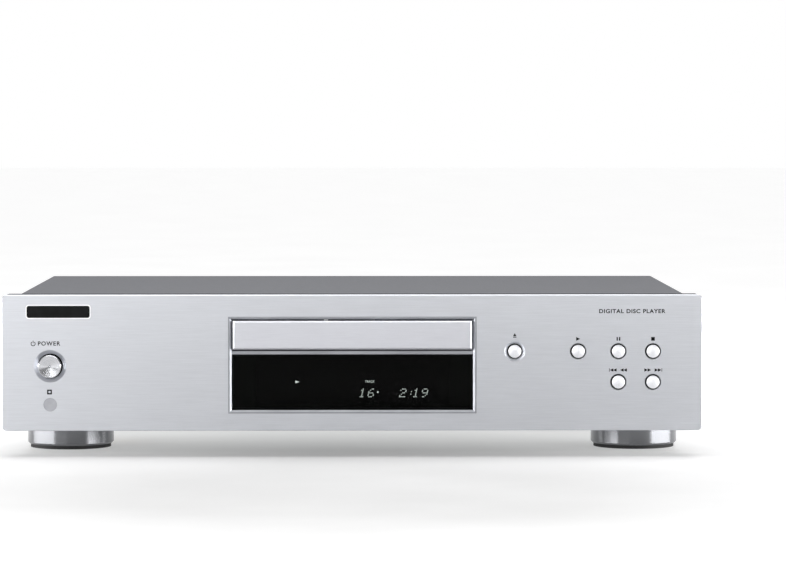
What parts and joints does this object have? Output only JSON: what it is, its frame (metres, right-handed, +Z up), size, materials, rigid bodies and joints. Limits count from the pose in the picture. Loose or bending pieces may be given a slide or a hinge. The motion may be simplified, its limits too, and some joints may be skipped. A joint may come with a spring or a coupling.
{
  "type": "cd player",
  "caption": "Full-width hi-fi compact disc player with a brushed silver fascia, central drawer and display window, round push buttons and chromed feet.",
  "frame": {"origin": "centre of the bounding box at floor level, under the rubber foot pads", "axes": "+X to the right seen from the front, the fascia faces -Y, +Z up"},
  "size_m": [0.435, 0.304, 0.101],
  "materials": {
    "brushed_aluminium": "horizontally brushed, anodised silver",
    "dark_plastic": "fine moulded texture",
    "silver_bezel": "silver plated, satin",
    "smoked_window": "polished smoked acrylic",
    "key_metal": "polished domed cap",
    "turned_metal": "spun-turned face",
    "sensor_plastic": "satin translucent grey",
    "badge_black": "gloss with a light rim",
    "grey_paint": "satin textured grey paint",
    "dark_paint": "satin black paint",
    "zinc_steel": "zinc plated",
    "foot_chrome": "bright plated shell",
    "foot_rubber": "matte",
    "black_screw": "black oxide",
    "zinc_screw": "zinc plated",
    "black_plastic": "moulded, slight sheen",
    "black_plastic_gloss": "moulded gloss",
    "white_plastic": "acetal, natural white",
    "magnet_grey": "sintered ferrite",
    "brass_metal": "turned",
    "belt_rubber": "matte",
    "motor_steel": "nickel plated can",
    "bright_steel": "ground and polished",
    "cast_zinc": "as cast",
    "lens_plastic": "black carrier with a clear lens",
    "circuit_board": "green solder mask",
    "display_glass": "dark display tube glass",
    "switch_black": "moulded",
    "chip_black": "moulded packages and sleeved cans",
    "core_steel": "varnished laminations",
    "coil_tape": "yellow winding tape",
    "jack_gold": "gold plated barrels on black shell",
    "ribbon_white": "flat ribbon"
  },
  "bodies": {
    "cabinet": {"front_panel": "brushed_aluminium", "front_frame": "dark_plastic", "opening_bezel": "silver_bezel", "display_window": "smoked_window", "remote_window": "sensor_plastic", "name_badge": "badge_black", "top_cover": "grey_paint", "chassis_base": "zinc_steel", "rear_panel": "dark_paint", "foot_front_left": "foot_chrome", "foot_front_right": "foot_chrome", "foot_back_left": "foot_chrome", "foot_back_right": "foot_chrome", "foot_pads": "foot_rubber", "cover_screws": "black_screw", "chassis_screws": "zinc_screw", "loader_frame": "black_plastic", "loader_brackets": "zinc_steel", "clamp_bridge": "zinc_steel", "drive_belt": "belt_rubber", "loading_motor": "motor_steel", "main_board": "circuit_board", "power_board": "circuit_board", "button_board": "circuit_board", "standby_board": "circuit_board", "display_board": "circuit_board", "display_tube": "display_glass", "tact_switches": "switch_black", "board_components": "chip_black", "power_transformer": "core_steel", "transformer_coil": "coil_tape", "rca_jacks": "jack_gold", "digital_out": "black_plastic_gloss", "power_inlet": "black_plastic_gloss", "flat_cables": "ribbon_white"},
    "drawer": {"disc_tray": "black_plastic", "tray_door": "brushed_aluminium"},
    "tray_gear_wheel": {"tray_gear": "white_plastic"},
    "pulley_wheel": {"pulley_gear": "white_plastic"},
    "loading_shaft": {"motor_pulley": "brass_metal"},
    "clamp": {"clamp_puck": "white_plastic", "clamp_magnet": "magnet_grey"},
    "cam": {"cam_slider": "white_plastic"},
    "traverse": {"traverse_frame": "black_plastic", "traverse_pins": "bright_steel", "spindle_motor": "motor_steel", "guide_rods": "bright_steel", "sled_motor": "motor_steel"},
    "spindle": {"turntable": "black_plastic"},
    "pickup": {"pickup_body": "cast_zinc"},
    "lens": {"objective_lens": "lens_plastic"},
    "sled_wheel": {"sled_gear": "white_plastic"},
    "sled_shaft": {"sled_pinion": "white_plastic"},
    "eject_key": {"eject_button": "key_metal"},
    "play_key": {"play_button": "key_metal"},
    "pause_key": {"pause_button": "key_metal"},
    "stop_key": {"stop_button": "key_metal"},
    "back_key": {"back_button": "key_metal"},
    "forward_key": {"forward_button": "key_metal"},
    "standby_key": {"standby_button": "turned_metal"}
  },
  "joints": [
    {"name": "tray_slide", "type": "slide", "parent": "cabinet", "child": "drawer", "axis": [0, -1, 0], "range_m": [0, 0.135]},
    {"name": "tray_gear_turn", "type": "hinge", "parent": "cabinet", "child": "tray_gear_wheel", "pos_m": [-0.046, -0.1105, 0.0695], "axis": [0, 0, 1], "range_deg": [0, 645]},
    {"name": "pulley_gear_turn", "type": "hinge", "parent": "cabinet", "child": "pulley_wheel", "pos_m": [-0.027, -0.1105, 0.0695], "axis": [0, 0, 1], "range_deg": [-1106, 0]},
    {"name": "motor_pulley_turn", "type": "hinge", "parent": "cabinet", "child": "loading_shaft", "pos_m": [0.02, -0.112, 0.067], "axis": [0, 0, 1], "range_deg": [-4560, 0]},
    {"name": "traverse_tilt", "type": "hinge", "parent": "cabinet", "child": "traverse", "pos_m": [0, 0.044, 0.062], "axis": [1, 0, 0], "range_deg": [0, 3]},
    {"name": "cam_slide", "type": "slide", "parent": "cabinet", "child": "cam", "axis": [1, 0, 0], "range_m": [0, 0.0125]},
    {"name": "spindle_spin", "type": "hinge", "parent": "traverse", "child": "spindle", "pos_m": [0, -0.0715, 0.075], "axis": [0, 0, 1], "continuous": true},
    {"name": "clamp_spin", "type": "hinge", "parent": "cabinet", "child": "clamp", "pos_m": [0, -0.0715, 0.08], "axis": [0, 0, 1], "continuous": true},
    {"name": "pickup_slide", "type": "slide", "parent": "traverse", "child": "pickup", "axis": [0, 1, 0], "range_m": [0, 0.036]},
    {"name": "sled_gear_turn", "type": "hinge", "parent": "traverse", "child": "sled_wheel", "pos_m": [0.039, -0.03, 0.0655], "axis": [0, 0, 1], "range_deg": [-207, 0]},
    {"name": "sled_pinion_turn", "type": "hinge", "parent": "traverse", "child": "sled_shaft", "pos_m": [0.039, -0.013, 0.0655], "axis": [0, 0, 1], "range_deg": [0, 295.5]},
    {"name": "lens_focus", "type": "slide", "parent": "pickup", "child": "lens", "axis": [0, 0, 1], "range_m": [-0.0005, 0.0005], "stiffness_N_per_m": 40},
    {"name": "eject_press", "type": "slide", "parent": "cabinet", "child": "eject_key", "axis": [0, 1, 0], "range_m": [0, 0.0008], "stiffness_N_per_m": 1200},
    {"name": "play_press", "type": "slide", "parent": "cabinet", "child": "play_key", "axis": [0, 1, 0], "range_m": [0, 0.0008], "stiffness_N_per_m": 1200},
    {"name": "pause_press", "type": "slide", "parent": "cabinet", "child": "pause_key", "axis": [0, 1, 0], "range_m": [0, 0.0008], "stiffness_N_per_m": 1200},
    {"name": "stop_press", "type": "slide", "parent": "cabinet", "child": "stop_key", "axis": [0, 1, 0], "range_m": [0, 0.0008], "stiffness_N_per_m": 1200},
    {"name": "back_press", "type": "slide", "parent": "cabinet", "child": "back_key", "axis": [0, 1, 0], "range_m": [0, 0.0008], "stiffness_N_per_m": 1200},
    {"name": "forward_press", "type": "slide", "parent": "cabinet", "child": "forward_key", "axis": [0, 1, 0], "range_m": [0, 0.0008], "stiffness_N_per_m": 1200},
    {"name": "standby_press", "type": "slide", "parent": "cabinet", "child": "standby_key", "axis": [0, 1, 0], "range_m": [0, 0.0008], "stiffness_N_per_m": 1200}
  ],
  "couplings": [
    {"joint": "tray_gear_turn", "follows": "tray_slide", "rad_per_m": 83.333},
    {"joint": "pulley_gear_turn", "follows": "tray_slide", "rad_per_m": -142.86},
    {"joint": "motor_pulley_turn", "follows": "tray_slide", "rad_per_m": -588.38},
    {"joint": "cam_slide", "follows": "traverse_tilt", "m_per_rad": 0.22918},
    {"joint": "clamp_spin", "follows": "spindle_spin", "ratio": 1},
    {"joint": "sled_gear_turn", "follows": "pickup_slide", "rad_per_m": -100},
    {"joint": "sled_pinion_turn", "follows": "pickup_slide", "rad_per_m": 142.86}
  ]
}
